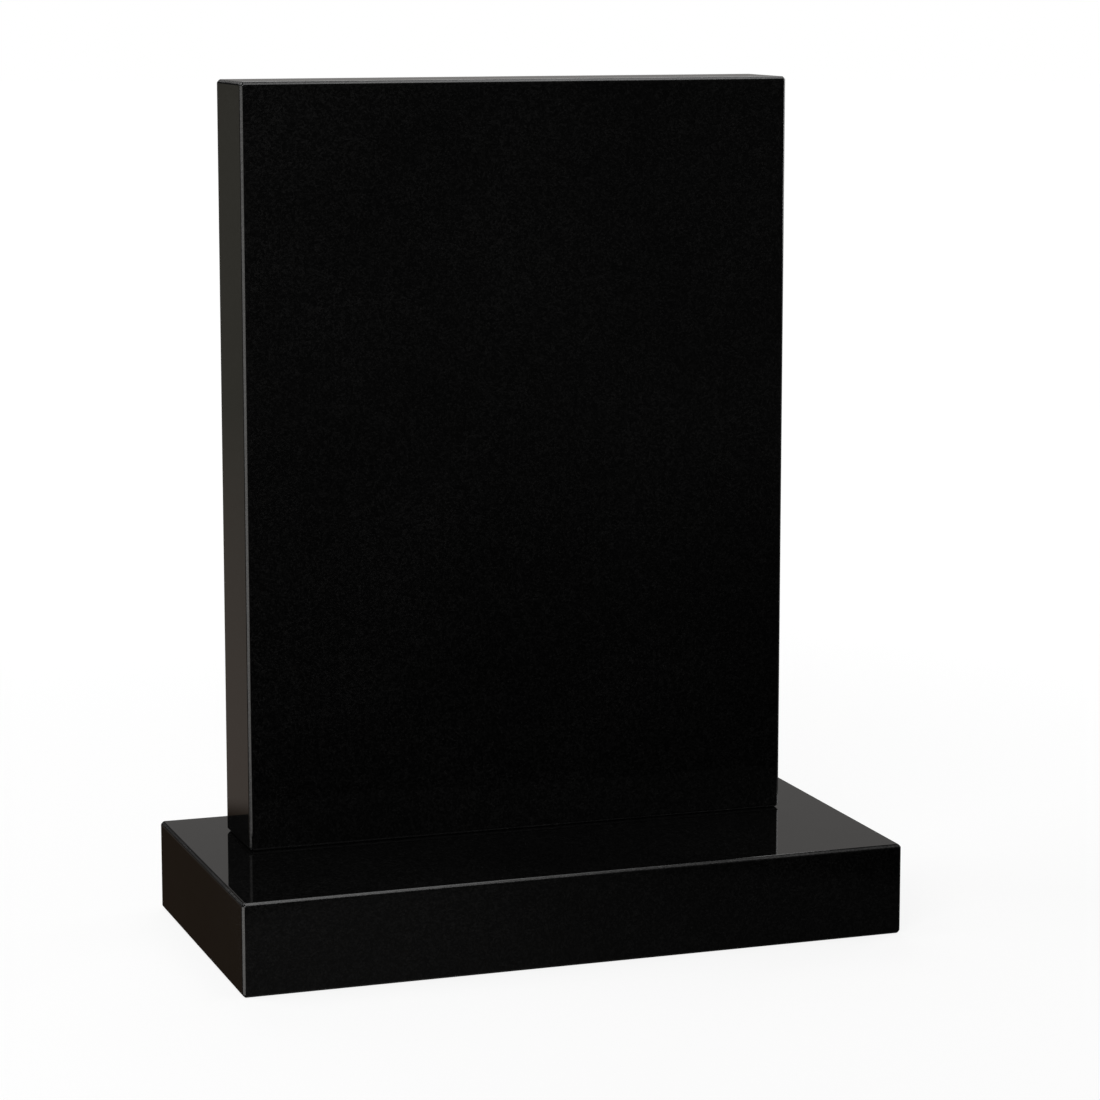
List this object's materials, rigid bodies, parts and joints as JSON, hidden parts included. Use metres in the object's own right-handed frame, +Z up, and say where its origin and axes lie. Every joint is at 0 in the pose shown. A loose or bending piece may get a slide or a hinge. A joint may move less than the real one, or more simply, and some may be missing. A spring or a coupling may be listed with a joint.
{
  "type": "headstone",
  "caption": "Upright rectangular headstone of polished black granite: a plain square-cornered tablet standing towards the back of a low rectangular base with a wide front ledge.",
  "frame": {"origin": "middle of the base's underside", "axes": "+Z up, -Y towards the front, where the inscription face and the wide ledge are, +X to the right as seen from the front"},
  "size_m": [0.716, 0.36, 0.8973],
  "materials": {
    "base_granite": "black granite, polished on the top and the four sides, arrises eased, sawn matt on the bed",
    "tablet_granite": "black granite, polished on the five faces that show, arrises eased, sawn matt at the foot"
  },
  "bodies": {
    "root": {"base": "base_granite", "tablet": "tablet_granite"}
  },
  "joints": []
}
